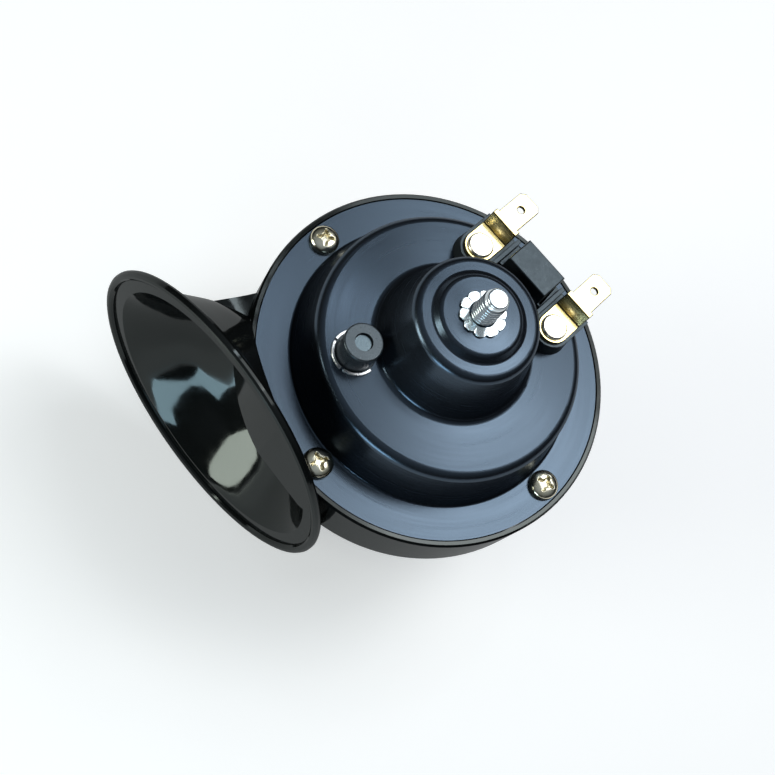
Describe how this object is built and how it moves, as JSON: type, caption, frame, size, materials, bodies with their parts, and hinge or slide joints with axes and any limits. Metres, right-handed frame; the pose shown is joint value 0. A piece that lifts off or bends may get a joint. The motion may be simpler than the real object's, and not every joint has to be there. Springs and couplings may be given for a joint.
{
  "type": "snail horn",
  "caption": "Round snail horn for a vehicle: stepped steel cover with a mounting stud and blade terminals, over a moulded volute that ends in a flared bell.",
  "frame": {"origin": "on the mounting stud's axis, on the star washer's top face", "axes": "+Z along the stud, away from the cover; the terminals stand towards +Y and the bell opens towards -Y"},
  "size_m": [0.1085, 0.0922, 0.0976],
  "materials": {
    "cover_black": "satin e-coat",
    "zinc": "bright zinc",
    "gasket": "matt",
    "spring_steel": "rolled",
    "plain_steel": "rolled",
    "horn_plastic": "glossy moulded black",
    "bobbin_plastic": "moulded",
    "copper_wire": "enamelled wire",
    "insulation": "laminate",
    "brass": "strip",
    "bare_steel": "staked bare steel",
    "sleeve_black": "satin black",
    "sealing_lacquer": "sealed with dark lacquer",
    "block_plastic": "moulded black",
    "rivet_brass": "headed",
    "yellow_zinc": "yellow zinc"
  },
  "bodies": {
    "housing": {"cover": "cover_black", "pole_core": "zinc", "star_washer": "zinc", "upper_gasket": "gasket", "lower_gasket": "gasket", "sound_plate": "plain_steel", "volute_horn": "horn_plastic", "bobbin": "bobbin_plastic", "winding": "copper_wire", "yoke_plate": "plain_steel", "breaker_bracket": "plain_steel", "breaker_insulators": "insulation", "fixed_contact_arm": "brass", "moving_contact_leaf": "spring_steel", "contact_points": "plain_steel", "leaf_pusher": "insulation", "breaker_rivet": "plain_steel", "adjuster_bush": "bare_steel", "adjuster_sleeve": "sleeve_black", "adjuster_screw": "sealing_lacquer", "terminal_block": "block_plastic", "terminal_left": "brass", "terminal_right": "brass", "terminal_rivet_left": "rivet_brass", "terminal_rivet_right": "rivet_brass", "inner_insulating_plate": "insulation", "cover_screws": "yellow_zinc"},
    "armature": {"armature": "plain_steel", "clamp_washer": "plain_steel", "diaphragm": "spring_steel"}
  },
  "joints": [
    {"name": "armature_stroke", "type": "slide", "parent": "housing", "child": "armature", "axis": [0, 0, 1], "range_m": [-0.00035, 0.00035], "stiffness_N_per_m": 60000, "deforming": ["diaphragm"]}
  ]
}
